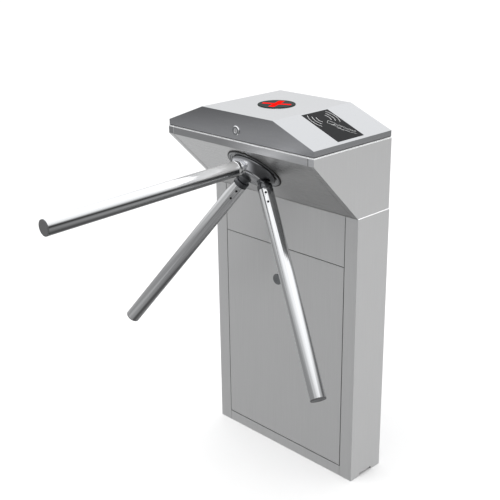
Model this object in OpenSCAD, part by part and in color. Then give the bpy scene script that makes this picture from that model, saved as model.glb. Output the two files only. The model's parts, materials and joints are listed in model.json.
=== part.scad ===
// Tripod turnstile with a visitor counter, standing on a narrow pedestal.
// Origin: centre of the pedestal's footprint on the floor. +X right, -Y towards the arms, +Z up.

/* [Cabinet] */
// Width of the pedestal, the head and the lid
cabinet_w = 500; // [460:1:540]
// Height from the floor to the flat top of the lid
cabinet_h = 980; // [960:1:1000]
// Depth of the pedestal, front to back
pedestal_d = 120; // [120:1:150]
// Depth of the head, front to back, measured from the common back plane
head_d = 280; // [270:1:300]
// Height at which the pedestal ends and the sloping underside of the head starts
slope_foot_z = 734; // [725:1:745]
// Height of the body's top edge, under the lid
body_top_z = 914; // [910:1:920]
// Width of the post on each side of the door
post_w = 40; // [30:1:50]
// Height of the top of the door
door_top_z = 600; // [560:1:620]
// Height of the fixed rail under the door
rail_h = 30; // [20:1:40]
// Thickness of the pedestal's sheet steel
wall = 2; // [1.5:0.5:2.5]
// Thickness of the head's and the lid's sheet steel
skin = 1.5; // [1:0.5:2]
// How far the head stands in from the pedestal's sides, and the lid from the head
ledge = 1.5; // [1:0.5:2]
// Width of the open joints between neighbouring panels
seam = 0.8; // [0.6:0.1:1.2]
// Thickness of the ballast plate in the foot
base_t = 20; // [12:1:24]

/* [Lid] */
// Width of the flat top of the lid
lid_top_w = 240; // [220:1:260]
// Height of the lid's upright rim
lid_rim_h = 15; // [12:1:18]
// Diameter of the passage indicator
indicator_d = 94; // [84:1:100]
// Distance of the indicator and the card readers behind the head's front face
indicator_back = 140; // [130:1:150]
// Length of a card reader's window, down the lid's slope
window_len = 122; // [100:1:126]
// Width of a card reader's window, front to back
window_w = 92; // [80:1:100]

/* [Rotor] */
// Distance of the rotor's axis from the head's lower front corner, down the slope
axis_down = 86; // [82:1:90]
// Angle between an arm and the rotor's axis
cone = 42.7; // [42:0.1:44]
// Turn of the arms about the rotor's axis at rest
arm_phase = 3.2; // [0:0.1:5]
// Distance from the meeting point of the arms' axes to an arm's end
arm_reach = 606; // [520:1:620]
// Outer diameter of an arm's tube
tube_d = 38; // [36:1:40]
// Wall thickness of an arm's tube
tube_t = 1.5; // [1.2:0.1:2]
// Distance from the meeting point to the start of a tube
tube_start = 79; // [77:1:84]
// Height of the hub above the slope
hub_h = 25; // [24:1:27]

/* [Mechanism] */
// Diameter of the main shaft
shaft_d = 25; // [25:0.5:25]
// Module of the damper gears
gear_m = 2; // [2:1:2]
// Teeth on the main gear
gear_teeth = 54; // [54:1:54]
// Teeth on the damper's pinion
pinion_teeth = 18; // [18:1:18]
// Radius of the locking disc
lock_r = 44; // [44:1:44]
// Clearance between the foot's plate and the panels round it
gap = 0.4; // [0.3:0.1:0.6]

/* [Hidden] */
$fn = 64;
HALF_W = cabinet_w / 2;
FRONT = -pedestal_d / 2;
BACK = pedestal_d / 2;
HEAD_FRONT = BACK - head_d;
SLOPE_RISE = FRONT - HEAD_FRONT;
BAND_Z = slope_foot_z + SLOPE_RISE;
SLOPE_SUM = FRONT + slope_foot_z;
POST_X = HALF_W - post_w;
CHEEK_FLANGE = 19;
HEAD_X = HALF_W - ledge;
CHEEK_X = HALF_W - CHEEK_FLANGE;
REAR_X = HALF_W - 20;
DOOR_X = POST_X - seam - 0.4;
DOOR_RETURN = 14;
INDICATOR_Y = HEAD_FRONT + indicator_back;

LID_Z = body_top_z + 1;
LID_RIM_TOP = LID_Z + lid_rim_h;
LID_X = HEAD_X - ledge;
LID_FRONT = HEAD_FRONT + ledge;
LID_RUN = LID_X - lid_top_w / 2;
LID_DROP = cabinet_h - LID_RIM_TOP;
LID_ANGLE = atan(LID_DROP / LID_RUN);
LID_SKIN_Z = skin / cos(LID_ANGLE);
WINDOW_START = 5;
WINDOW_T = 3;
WINDOW_PROUD = 0.4;

HUB_Y = HEAD_FRONT + axis_down * cos(45);
HUB_Z = SLOPE_SUM - HUB_Y;
ARM_ROOT_Z = -20;
SPIGOT_R = 15;
COLLAR_START = tube_start - 13;
SPIGOT_START = 46;
TUBE_R = tube_d / 2;
BORE_R = TUBE_R - tube_t;
SPIGOT_END = tube_start + 60;
SCREW_R = 3;
SCREW_AT = [tube_start + 13, tube_start + 38];
SCREW_TURN = [-90, 180];
HUB_R = 60;
HUB_FACE_R = 42;
SHAFT_R = shaft_d / 2;
RUN = 0.05;

PLATE_TOP = -14;
PLATE_T = 6;
PLATE_BOTTOM = PLATE_TOP - PLATE_T;
BEARING_R = 23.5;
BEARING_T = 12;
HOUSING_R = 31;
HOUSING_TOP = -4;
HOUSING_END = -50;
GEAR_R = gear_m * gear_teeth / 2;
PINION_R = gear_m * pinion_teeth / 2;
MESH = GEAR_R + PINION_R;
GEAR_Z = -62;
GEAR_T = 8;
LOCK_Z = -74;
LOCK_T = 8;
COUNT_Z = -80;
COUNT_T = 1.5;
COUNT_R = 42;
SHAFT_END = -94;
NUT_Z = -91;
PAWL_X = 43;
PAWL_Y = -52;
PIVOT_R = 5;
PLUNGER_TIP_X = 61;
PLUNGER_Z = LOCK_Z + LOCK_T / 2;
COIL_X = 78;
COIL_LEN = 36;

HINGE_Y = BACK + 5.5;
HINGE_Z = LID_Z - 0.5;
HINGE_X = 150;
KNUCKLE_R = 4;
HINGE_PIN_R = 2;
KNUCKLE_LEN = 20;

LID_LOCK_Z = body_top_z + 24.5;
DOOR_LOCK_X = -18;
DOOR_LOCK_Z = 505;
KEEPER_Z = DOOR_LOCK_Z + 17;
DOOR_PIN_Y = FRONT + 5.5;
DOOR_PIN_Z = rail_h + 6.5;
DOOR_PIN_R = 2.5;

ANCHOR_X = 225;
ANCHOR_Y = 38;
ANCHOR_R = 7;
GROMMET_X = -40;
GROMMET_Y = -10;
GROMMET_R = 25;
CABLE_R = 14;
NOTCH_W = 52;
NOTCH_H = 8;

// ---- helpers ----

// A prism along X from an outline of [y, z] points.
module yz_prism(x0, x1, pts) {
    translate([x0, 0, 0])
        rotate([90, 0, 90])
            linear_extrude(x1 - x0)
                polygon(pts);
}

// A prism along Y from an outline of [x, z] points.
module xz_prism(y0, y1, pts) {
    translate([0, y1, 0])
        rotate([90, 0, 0])
            linear_extrude(y1 - y0)
                polygon(pts);
}

// A box between two corners.
module slab(low, high) {
    translate(low)
        cube(high - low);
}

// A cylinder along Z between two heights.
module post(r, z0, z1) {
    translate([0, 0, z0])
        cylinder(r = r, h = z1 - z0);
}

// A ring along Z between two heights.
module ring(r_out, r_in, z0, z1) {
    difference() {
        post(r_out, z0, z1);
        post(r_in, z0 - 1, z1 + 1);
    }
}

// The rotor's frame: z outward along the axis, y up the slope, origin on the slope's face.
module hub_frame() {
    translate([0, HUB_Y, HUB_Z])
        rotate([135, 0, 0])
            children();
}

// The frame of arm k: z along the arm, origin where the three arms' axes meet.
module arm_frame(k) {
    hub_frame()
        translate([0, 0, ARM_ROOT_Z])
            rotate([0, 0, arm_phase + 120 * k])
                rotate([-cone, 0, 0])
                    children();
}

// The same shape on both sides of the cabinet's middle plane.
module both_sides() {
    children();
    mirror([1, 0, 0])
        children();
}

// The frame of a card reader's window: x down the lid's slope from the ridge, z outward.
module window_frame() {
    translate([lid_top_w / 2, INDICATOR_Y, cabinet_h])
        rotate([0, LID_ANGLE, 0])
            children();
}

// Frames of the two cam locks: z points out of the front face.
module lid_lock_frame() {
    translate([0, LID_FRONT, LID_LOCK_Z])
        rotate([90, 0, 0])
            children();
}

module door_lock_frame() {
    translate([DOOR_LOCK_X, FRONT, DOOR_LOCK_Z])
        rotate([90, 0, 0])
            children();
}

// ---- involute gears ----

function involute_turn(base_r, r) =
    let (t = sqrt(max(0, pow(r / base_r, 2) - 1))) t * 180 / PI - atan(t);
function gear_half(teeth, r) =
    let (pitch_r = gear_m * teeth / 2, base_r = pitch_r * cos(20))
    90 / teeth + involute_turn(base_r, pitch_r) - involute_turn(base_r, max(r, base_r))
        - 0.08 / pitch_r * 180 / PI;
function gear_radii(teeth) =
    let (pitch_r = gear_m * teeth / 2, low = max(pitch_r * cos(20), pitch_r - 1.25 * gear_m),
        high = pitch_r + gear_m)
    [for (i = [0:4]) low + (high - low) * i / 4];
function polar(r, a) = [r * cos(a), r * sin(a)];
function gear_outline(teeth) =
    let (root_r = gear_m * teeth / 2 - 1.25 * gear_m, radii = gear_radii(teeth))
    [for (i = [0:teeth - 1]) each concat(
        [polar(root_r, 360 / teeth * i - gear_half(teeth, radii[0]) - 0.3)],
        [for (r = radii) polar(r, 360 / teeth * i - gear_half(teeth, r))],
        [for (j = [4:-1:0]) polar(radii[j], 360 / teeth * i + gear_half(teeth, radii[j]))],
        [polar(root_r, 360 / teeth * i + gear_half(teeth, radii[0]) + 0.3)])];

module gear_blank(teeth, z0, thickness) {
    translate([0, 0, z0])
        linear_extrude(thickness)
            polygon(gear_outline(teeth));
}

// ---- pedestal ----

module base_plate() {
    color("dimgray")
    difference() {
        slab([-HALF_W + wall + gap, FRONT + wall + gap, 0], [HALF_W - wall - gap, BACK - wall - gap, base_t]);
        for (x = [-ANCHOR_X, ANCHOR_X], y = [-ANCHOR_Y, ANCHOR_Y])
            translate([x, y, 0])
                post(ANCHOR_R, -1, base_t + 1);
        translate([GROMMET_X, GROMMET_Y, 0])
            post(GROMMET_R, -1, base_t + 1);
        both_sides()
            slab([HALF_W - 36, -NOTCH_W / 2, -1], [HALF_W, NOTCH_W / 2, base_t + 1]);
    }
}

module cable_grommet() {
    color("#202020")
    translate([GROMMET_X, GROMMET_Y, 0])
        difference() {
            union() {
                post(GROMMET_R - RUN, 1, base_t);
                post(GROMMET_R + 4, base_t, base_t + 3);
            }
            post(CABLE_R, 0, base_t + 4);
        }
}

// A pivot pin at the door's right-hand foot, between two places along X.
module door_pin(x0, x1, r) {
    translate([x0, DOOR_PIN_Y, DOOR_PIN_Z])
        rotate([0, 90, 0])
            cylinder(r = r, h = x1 - x0);
}

// The folded right-hand side: a wall, the wide front post and a narrow rear flange.
module side_panel() {
    difference() {
        union() {
            slab([HALF_W - wall, FRONT, 0], [HALF_W, BACK, slope_foot_z - seam]);
            slab([POST_X, FRONT, 0], [HALF_W, FRONT + wall, slope_foot_z - seam]);
            slab([POST_X, FRONT, rail_h], [POST_X + wall, FRONT + DOOR_RETURN, slope_foot_z - seam]);
            slab([REAR_X, BACK - wall, 0], [HALF_W, BACK, slope_foot_z - seam]);
        }
        slab([HALF_W - wall - 1, -NOTCH_W / 2, -1], [HALF_W + 1, NOTCH_W / 2, NOTCH_H]);
        door_pin(POST_X - 1, POST_X + wall + 1, DOOR_PIN_R + RUN);
    }
}

module left_side_panel() {
    color("lightgray")
    mirror([1, 0, 0])
        side_panel();
}

module right_side_panel() {
    color("silver")
    side_panel();
}

module rear_panel() {
    color("darkgray") {
        slab([-REAR_X + seam, BACK - wall, 0], [REAR_X - seam, BACK, body_top_z]);
        slab([-REAR_X + seam, BACK - 14, body_top_z - wall], [REAR_X - seam, BACK - wall, body_top_z]);
    }
}

module upper_front_panel() {
    color("gainsboro") {
        slab([-POST_X + seam, FRONT, door_top_z + seam], [POST_X - seam, FRONT + wall, slope_foot_z - seam]);
        slab([-POST_X + wall + seam, FRONT + wall, door_top_z + seam],
            [POST_X - wall - seam, FRONT + DOOR_RETURN, door_top_z + seam + wall]);
    }
}

module bottom_rail() {
    color("gainsboro") {
        slab([-POST_X + seam, FRONT, 0], [POST_X - seam, FRONT + wall, rail_h - seam]);
        slab([-POST_X + seam, FRONT + wall, rail_h - seam - wall], [POST_X - seam, FRONT + DOOR_RETURN, rail_h - seam]);
    }
}

// What the two locks' cams turn behind: a cross rail behind the door and a bracket behind the band.
module lock_keepers() {
    color("slategray") {
        slab([-HALF_W + wall, FRONT + 20, KEEPER_Z], [HALF_W - wall, FRONT + 22, KEEPER_Z + 18]);
        slab([-HALF_W + wall, FRONT + 22, KEEPER_Z + 16], [HALF_W - wall, FRONT + 40, KEEPER_Z + 18]);
        slab([-14, HEAD_FRONT + 22, body_top_z - 18], [14, HEAD_FRONT + 23.5, body_top_z]);
    }
}

// ---- head ----

// The bent strip of the head's front band and its slope, as an outline of [y, z] points.
function strip(top) = [
    [HEAD_FRONT, top], [HEAD_FRONT, BAND_Z], [FRONT, slope_foot_z],
    [FRONT + skin * sqrt(2), slope_foot_z],
    [HEAD_FRONT + skin, BAND_Z + skin * (sqrt(2) - 1)], [HEAD_FRONT + skin, top]];

module cheek() {
    yz_prism(HEAD_X - skin, HEAD_X, [[BACK, slope_foot_z], [FRONT, slope_foot_z],
        [HEAD_FRONT, BAND_Z], [HEAD_FRONT, body_top_z], [BACK, body_top_z]]);
    yz_prism(CHEEK_X, HEAD_X, strip(body_top_z));
    slab([REAR_X, BACK - skin, slope_foot_z], [HEAD_X, BACK, body_top_z]);
    slab([CHEEK_X, HEAD_FRONT + skin, body_top_z - skin], [HEAD_X - skin, BACK - skin, body_top_z]);
}

module left_cheek() {
    color("lightgray")
    mirror([1, 0, 0])
        cheek();
}

module right_cheek() {
    color("silver")
    cheek();
}

module slope_panel() {
    color("gainsboro")
    difference() {
        union() {
            yz_prism(-CHEEK_X + seam, CHEEK_X - seam, strip(body_top_z));
            slab([-CHEEK_X + seam, HEAD_FRONT + skin, body_top_z - skin],
                [CHEEK_X - seam, HEAD_FRONT + 22, body_top_z]);
        }
        hub_frame()
            post(HOUSING_R + 3, -10, 10);
    }
}

module lid_gasket() {
    color("#181818")
    difference() {
        slab([-LID_X + 3, LID_FRONT + 3, body_top_z], [LID_X - 3, BACK - 3, body_top_z + 0.6]);
        slab([-LID_X + 11, LID_FRONT + 11, body_top_z - 1], [LID_X - 11, BACK - 11, body_top_z + 2]);
    }
}

// One hinge's leaf and knuckles, at x = 0: side is -1 below the axis and 1 above it.
module knuckle(x0, x1, side) {
    difference() {
        union() {
            translate([x0, HINGE_Y, HINGE_Z])
                rotate([0, 90, 0])
                    cylinder(r = KNUCKLE_R, h = x1 - x0);
            slab([x0, BACK, HINGE_Z + (side < 0 ? -KNUCKLE_R : 0.9)],
                [x1, HINGE_Y, HINGE_Z + (side < 0 ? -0.9 : KNUCKLE_R)]);
        }
        translate([x0 - 1, HINGE_Y, HINGE_Z])
            rotate([0, 90, 0])
                cylinder(r = HINGE_PIN_R + (side < 0 ? 0 : RUN), h = x1 - x0 + 2);
    }
}

module lid_hinge_leaves() {
    color("gray")
    for (x = [-HINGE_X, HINGE_X])
        translate([x, 0, 0]) {
            knuckle(-1.5 * KNUCKLE_LEN, -KNUCKLE_LEN / 2 - gap, -1);
            knuckle(KNUCKLE_LEN / 2 + gap, 1.5 * KNUCKLE_LEN, -1);
            slab([-1.5 * KNUCKLE_LEN, BACK, HINGE_Z - 34], [1.5 * KNUCKLE_LEN, BACK + 1.5, HINGE_Z - KNUCKLE_R - 0.6]);
            for (s = [-1, 1])
                slab([s * KNUCKLE_LEN - 10 + gap * (s + 1) / 2, BACK, HINGE_Z - KNUCKLE_R - 0.7],
                    [s * KNUCKLE_LEN + 10 + gap * (s - 1) / 2, BACK + 1.5, HINGE_Z - KNUCKLE_R + 0.1]);
        }
}

module lid_hinge_pins() {
    color("dimgray")
    for (x = [-HINGE_X, HINGE_X])
        translate([x, HINGE_Y, HINGE_Z])
            rotate([0, 90, 0])
                cylinder(r = HINGE_PIN_R, h = 3 * KNUCKLE_LEN, center = true);
}

module hub_escutcheon() {
    color("silver")
    hub_frame()
        rotate_extrude()
            polygon([[HUB_R + 1.5, 0], [73, 0], [73, 2], [71.5, 3.5], [68, 3.5], [66, 2.4], [HUB_R + 1.5, 2.4]]);
}

// ---- mechanism, fixed to the slope panel ----

module mechanism_plate() {
    color("lightsteelblue")
    hub_frame()
        difference() {
            slab([-116, -126, PLATE_BOTTOM], [116, 60, PLATE_TOP]);
            post(HOUSING_R, PLATE_BOTTOM - 1, PLATE_TOP + 1);
        }
}

module standoffs() {
    color("gray")
    hub_frame() {
        for (x = [-104, 104], y = [-114, 50])
            translate([x, y, 0])
                post(6, PLATE_TOP, -skin);
        for (x = [-42, 42])
            translate([x, -79, 0])
                post(3.5, -86.4, PLATE_BOTTOM);
    }
}

module pawl_pivots() {
    color("gray")
    hub_frame()
        both_sides()
            translate([PAWL_X, PAWL_Y, 0]) {
                post(PIVOT_R, LOCK_Z - 4, PLATE_BOTTOM);
                post(PIVOT_R + 3, LOCK_Z + LOCK_T + gap, PLATE_BOTTOM);
                post(PIVOT_R + 3, LOCK_Z - 6, LOCK_Z - gap);
            }
}

module bearing_housing() {
    color("darkgray")
    hub_frame()
        rotate_extrude()
            polygon([[BEARING_R - 4, HOUSING_END + BEARING_T], [BEARING_R, HOUSING_END + BEARING_T],
                [BEARING_R, HOUSING_END], [HOUSING_R, HOUSING_END], [HOUSING_R, PLATE_BOTTOM - 6],
                [HOUSING_R + 12, PLATE_BOTTOM - 6], [HOUSING_R + 12, PLATE_BOTTOM],
                [HOUSING_R, PLATE_BOTTOM], [HOUSING_R, HOUSING_TOP], [BEARING_R, HOUSING_TOP],
                [BEARING_R, HOUSING_TOP - BEARING_T], [BEARING_R - 4, HOUSING_TOP - BEARING_T]]);
}

module bearing(z0) {
    rotate_extrude()
        polygon([[SHAFT_R + RUN, z0], [SHAFT_R + 3, z0], [SHAFT_R + 4, z0 + 1], [BEARING_R - 4, z0 + 1],
            [BEARING_R - 3, z0], [BEARING_R, z0], [BEARING_R, z0 + BEARING_T],
            [BEARING_R - 3, z0 + BEARING_T], [BEARING_R - 4, z0 + BEARING_T - 1],
            [SHAFT_R + 4, z0 + BEARING_T - 1], [SHAFT_R + 3, z0 + BEARING_T], [SHAFT_R + RUN, z0 + BEARING_T]]);
}

module shaft_bearings() {
    color("silver")
    hub_frame() {
        bearing(HOUSING_TOP - BEARING_T);
        bearing(HOUSING_END);
    }
}

module solenoid_frames() {
    color("slategray")
    hub_frame()
        both_sides()
            difference() {
                union() {
                    slab([COIL_X - 2, -16, PLUNGER_Z - 15], [COIL_X, 16, PLUNGER_Z + 15]);
                    slab([COIL_X + COIL_LEN, -16, PLUNGER_Z - 15], [COIL_X + COIL_LEN + 2, 16, PLUNGER_Z + 15]);
                    slab([COIL_X - 2, -16, PLUNGER_Z + 15], [COIL_X + COIL_LEN + 2, 16, PLUNGER_Z + 17]);
                    slab([COIL_X + 6, -12, PLUNGER_Z + 17], [COIL_X + COIL_LEN - 6, 12, PLATE_BOTTOM]);
                }
                translate([COIL_X - 5, 0, PLUNGER_Z])
                    rotate([0, 90, 0])
                        cylinder(r = 6.3, h = COIL_LEN + 10);
            }
}

module solenoid_coils() {
    color("darkred")
    hub_frame()
        both_sides()
            translate([COIL_X, 0, PLUNGER_Z])
                rotate([0, 90, 0])
                    ring(13.5, 6.3, 0, COIL_LEN);
}

module sensor_fork() {
    difference() {
        slab([-5, -54, -86.4], [5, -35, -75.2]);
        slab([-6, -47, COUNT_Z - 1.2], [6, -34, COUNT_Z + COUNT_T + 1]);
    }
}

module sensor_board() {
    color("darkgreen")
    hub_frame() {
        slab([-46, -84, -88], [46, -45, -86.4]);
        for (x = [-16, 16])
            translate([x, 0, 0])
                sensor_fork();
        slab([-12, -80, -86.4], [12, -70, -82]);
    }
}

module damper_body() {
    color("#303438")
    hub_frame()
        translate([0, -MESH, 0])
            difference() {
                union() {
                    post(29, -46, PLATE_BOTTOM);
                    post(12, -51, -46);
                }
                post(PIVOT_R + RUN, -60, -34);
            }
}

// ---- equipment in the pedestal ----

module equipment_plate() {
    color("gainsboro") {
        slab([-200, BACK - wall - 14, 240], [200, BACK - wall - 12, 480]);
        for (x = [-190, 170])
            slab([x, BACK - wall - 12, 250], [x + 20, BACK - wall, 470]);
    }
}

module control_board() {
    color("seagreen") {
        slab([-120, BACK - wall - 19.6, 270], [100, BACK - wall - 18, 440]);
        for (x = [-112, 92], z = [278, 432])
            translate([x, BACK - wall - 14, z])
                rotate([90, 0, 0])
                    cylinder(r = 3, h = 4);
        slab([-60, BACK - wall - 24, 340], [-20, BACK - wall - 19.6, 380]);
        slab([10, BACK - wall - 33, 380], [60, BACK - wall - 19.6, 400]);
        for (i = [0:5])
            slab([-104 + i * 32, BACK - wall - 31, 276], [-80 + i * 32, BACK - wall - 19.6, 290]);
    }
}

module power_supply() {
    color("silver")
    difference() {
        slab([-205, BACK - wall - 52, base_t], [-75, BACK - wall - 2, base_t + 100]);
        for (i = [0:7])
            slab([-195 + i * 14, BACK - wall - 53, base_t + 20], [-189 + i * 14, BACK - wall - 50, base_t + 80]);
    }
}

module backup_battery() {
    color("#252a30") {
        slab([50, BACK - wall - 67, base_t], [201, BACK - wall - 2, base_t + 92]);
        slab([52, BACK - wall - 65, base_t + 92], [199, BACK - wall - 4, base_t + 95]);
        for (x = [70, 174])
            slab([x, BACK - wall - 24, base_t + 95], [x + 7, BACK - wall - 18, base_t + 100]);
    }
}

// ---- lid ----

// Half-width and height points of the lid's roof, moved inward by the given thickness.
function roof(e, dz, z_low) = [
    [-LID_X + e, z_low], [-LID_X + e, LID_RIM_TOP + e * tan(LID_ANGLE) - dz],
    [-lid_top_w / 2 + (dz - e) / tan(LID_ANGLE), cabinet_h - e],
    [lid_top_w / 2 - (dz - e) / tan(LID_ANGLE), cabinet_h - e],
    [LID_X - e, LID_RIM_TOP + e * tan(LID_ANGLE) - dz], [LID_X - e, z_low]];

module lid_shell() {
    color("whitesmoke")
    difference() {
        xz_prism(LID_FRONT, BACK, roof(0, 0, LID_Z));
        xz_prism(LID_FRONT + skin, BACK - skin, roof(skin, LID_SKIN_Z, LID_Z + skin));
        slab([-LID_X + 12, LID_FRONT + 12, LID_Z - 1], [LID_X - 12, BACK - 12, LID_Z + 3]);
        translate([0, INDICATOR_Y, 0])
            post(indicator_d / 2 - 6, cabinet_h - 5, cabinet_h + 5);
        both_sides()
            window_frame()
                slab([WINDOW_START - 0.2, -window_w / 2 - 0.2, -5],
                    [WINDOW_START + window_len + 0.2, window_w / 2 + 0.2, 5]);
        lid_lock_frame()
            post(9.5, -5, 5);
    }
}

module lid_hinge_straps() {
    color("gray")
    for (x = [-HINGE_X, HINGE_X])
        translate([x, 0, 0]) {
            knuckle(-KNUCKLE_LEN / 2, KNUCKLE_LEN / 2, 1);
            slab([-KNUCKLE_LEN / 2, BACK, HINGE_Z + 0.9], [KNUCKLE_LEN / 2, BACK + 1.5, HINGE_Z + 12]);
        }
}

module indicator_bezel() {
    color("#202224")
    translate([0, INDICATOR_Y, cabinet_h])
        rotate_extrude()
            polygon([[indicator_d / 2 - 9, -14], [indicator_d / 2 - 6.4, -14], [indicator_d / 2 - 6.4, 0],
                [indicator_d / 2, 0], [indicator_d / 2, 0.8], [indicator_d / 2 - 0.8, 1.6],
                [indicator_d / 2 - 4, 1.6], [indicator_d / 2 - 4, 0.4], [indicator_d / 2 - 9, 0.4]]);
}

// The cross of light bars, seen from above.
module cross_outline() {
    for (turn = [25, 112])
        rotate([0, 0, turn])
            square([74, 11], center = true);
}

module indicator_lens() {
    color("#30343a")
    translate([0, INDICATOR_Y, cabinet_h])
        difference() {
            post(indicator_d / 2 - 4 - RUN, 0.4, 1.4);
            linear_extrude(3)
                cross_outline();
        }
}

module indicator_cross() {
    color("red")
    translate([0, INDICATOR_Y, cabinet_h - 1.4])
        linear_extrude(3)
            cross_outline();
}

module indicator_board() {
    color("darkgreen")
    translate([0, INDICATOR_Y, cabinet_h]) {
        post(indicator_d / 2 - 9.2, -14, -12.4);
        for (turn = [25, 112], i = [-2:2])
            if (i != 0 || turn == 25)
                rotate([0, 0, turn])
                    translate([i * 15, 0, 0])
                        post(2.5, -12.4, -6);
    }
}

module reader_window() {
    window_frame()
        slab([WINDOW_START, -window_w / 2, WINDOW_PROUD - WINDOW_T],
            [WINDOW_START + window_len, window_w / 2, WINDOW_PROUD]);
}

module reader_window_left() {
    color("#101114")
    mirror([1, 0, 0])
        reader_window();
}

module reader_window_right() {
    color("#101114")
    reader_window();
}

module reader_modules() {
    color("#2a2d30")
    both_sides()
        window_frame() {
            slab([24, -34, -15], [100, 34, WINDOW_PROUD - WINDOW_T]);
            slab([34, -24, -18], [90, 24, -15]);
        }
}

// A cam lock's fixed barrel with its nut, through a sheet of the given thickness.
module lock_barrel(head_r, sheet, depth) {
    difference() {
        union() {
            rotate_extrude()
                polygon([[0, 0], [head_r, 0], [head_r, 1.4], [head_r - 1.6, 3], [0, 3]]);
            post(9.2, -depth, 0);
            difference() {
                translate([0, 0, -sheet - 5])
                    cylinder(r = 13.5, h = 5, $fn = 6);
                post(9, -sheet - 6, -sheet + 1);
            }
        }
        post(6, -depth - 1, 4);
    }
}

// A cam lock's turning plug, its keyway and its cam.
module lock_cam(depth, reach) {
    difference() {
        post(6 - RUN, -depth - 3, 2.4);
        slab([-0.6, -3.6, 0], [0.6, 3.6, 3]);
    }
    difference() {
        union() {
            post(8, -depth - 3, -depth - 1);
            slab([0, -6, -depth - 3], [reach, 6, -depth - 1]);
        }
        post(5, -depth - 4, -depth);
    }
}

module lid_lock_barrel() {
    color("silver")
    lid_lock_frame()
        lock_barrel(12, skin, 22);
}

module lid_lock_cam() {
    color("goldenrod")
    lid_lock_frame()
        lock_cam(22, 36);
}

// ---- door ----

module front_door() {
    color("gainsboro") {
        difference() {
            slab([-DOOR_X, FRONT, rail_h + 2 * seam], [DOOR_X, FRONT + DOOR_RETURN, door_top_z - seam]);
            slab([-DOOR_X + skin, FRONT + skin, rail_h + 2 * seam + skin],
                [DOOR_X - skin, FRONT + DOOR_RETURN + 1, door_top_z - seam - skin]);
            door_lock_frame()
                post(9.5, -5, 5);
        }
        both_sides()
            door_pin(DOOR_X - skin, POST_X + wall + 1, DOOR_PIN_R);
    }
}

module door_lock_barrel() {
    color("dimgray")
    door_lock_frame()
        lock_barrel(15, skin, 22);
}

module door_lock_cam() {
    color("goldenrod")
    door_lock_frame()
        lock_cam(22, 30);
}

// ---- rotor ----

module hub_body() {
    color("#8c9096")
    difference() {
        hub_frame()
            rotate_extrude($fn = 96)
                polygon([[SHAFT_R + 0.02, 1], [HUB_R, 1], [HUB_R, 4], [HUB_R - 1, 6.5], [HUB_R - 3.5, 10.5],
                    [HUB_R - 8, 16], [HUB_R - 13, 21], [HUB_FACE_R + 2, hub_h - 0.8], [HUB_FACE_R, hub_h],
                    [30, hub_h], [30, hub_h - 3], [0, hub_h - 3], [0, 6], [SHAFT_R + 0.02, 6]]);
        for (k = [0:2])
            arm_frame(k)
                post(SPIGOT_R + RUN, SPIGOT_START - 0.5, SPIGOT_END);
    }
}

module hub_cap() {
    color("#a0a4aa")
    difference() {
        hub_frame()
            rotate_extrude($fn = 96)
                polygon([[0, hub_h - 3], [30 - RUN, hub_h - 3], [30 - RUN, hub_h], [27, hub_h + 1.5], [0, hub_h + 2.5]]);
        for (k = [0:2])
            arm_frame(k)
                post(SPIGOT_R + RUN, SPIGOT_START - 0.5, SPIGOT_END);
    }
}

module arm_tube(k) {
    color("gainsboro")
    arm_frame(k)
        difference() {
            post(TUBE_R, tube_start, arm_reach - 3);
            post(BORE_R, tube_start - 1, arm_reach);
            for (s = SCREW_AT, turn = SCREW_TURN)
                translate([0, 0, s])
                    rotate([0, 90, turn])
                        cylinder(r = SCREW_R + RUN, h = TUBE_R + 5);
        }
}

module arm_tube_1() {
    arm_tube(0);
}

module arm_tube_2() {
    arm_tube(1);
}

module arm_tube_3() {
    arm_tube(2);
}

module arm_spigots() {
    color("dimgray")
    for (k = [0:2])
        arm_frame(k)
            difference() {
                rotate_extrude()
                    polygon([[9, SPIGOT_START], [SPIGOT_R, SPIGOT_START], [SPIGOT_R, COLLAR_START - 5],
                        [SPIGOT_R - 1.5, COLLAR_START - 4], [SPIGOT_R - 1.5, COLLAR_START - 1],
                        [TUBE_R - 1.5, COLLAR_START], [TUBE_R - 0.3, COLLAR_START + 1.2],
                        [TUBE_R - 0.3, tube_start - 3], [TUBE_R - 1.5, tube_start - 2],
                        [TUBE_R - 1.5, tube_start - RUN], [BORE_R - RUN, tube_start - RUN],
                        [BORE_R - RUN, SPIGOT_END], [9, SPIGOT_END]]);
                for (s = SCREW_AT, turn = SCREW_TURN)
                    translate([0, 0, s])
                        rotate([0, 90, turn])
                            cylinder(r = SCREW_R + RUN, h = TUBE_R + 5);
            }
}

module arm_end_caps() {
    color("gainsboro")
    for (k = [0:2])
        arm_frame(k)
            rotate_extrude()
                polygon([[0, arm_reach - 12], [BORE_R - RUN, arm_reach - 12], [BORE_R - RUN, arm_reach - 3],
                    [TUBE_R, arm_reach - 3], [TUBE_R, arm_reach - 1], [TUBE_R - 1, arm_reach], [0, arm_reach]]);
}

module arm_set_screws() {
    color("#505458")
    for (k = [0:2], s = SCREW_AT, turn = SCREW_TURN)
        arm_frame(k)
            translate([0, 0, s])
                rotate([0, 90, turn])
                    difference() {
                        post(SCREW_R, 9.5, TUBE_R - 0.2);
                        translate([0, 0, TUBE_R - 4])
                            cylinder(r = 2.3, h = 5, $fn = 6);
                    }
}

module main_shaft() {
    color("silver")
    hub_frame()
        difference() {
            union() {
                post(SHAFT_R, SHAFT_END, 6);
                post(SHAFT_R + 3, HOUSING_END - 3, HOUSING_END - 0.3);
            }
            post(4, SHAFT_END - 1, SHAFT_END + 20);
        }
}

module main_gear() {
    color("ivory")
    hub_frame()
        difference() {
            union() {
                gear_blank(gear_teeth, GEAR_Z, GEAR_T);
                post(20, GEAR_Z - 3.7, GEAR_Z + GEAR_T + 0.8);
            }
            post(SHAFT_R + 0.02, GEAR_Z - 10, GEAR_Z + 20);
            for (a = [0:60:300])
                rotate([0, 0, a])
                    translate([34, 0, 0])
                        post(9, GEAR_Z - 1, GEAR_Z + GEAR_T + 1);
        }
}

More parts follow.
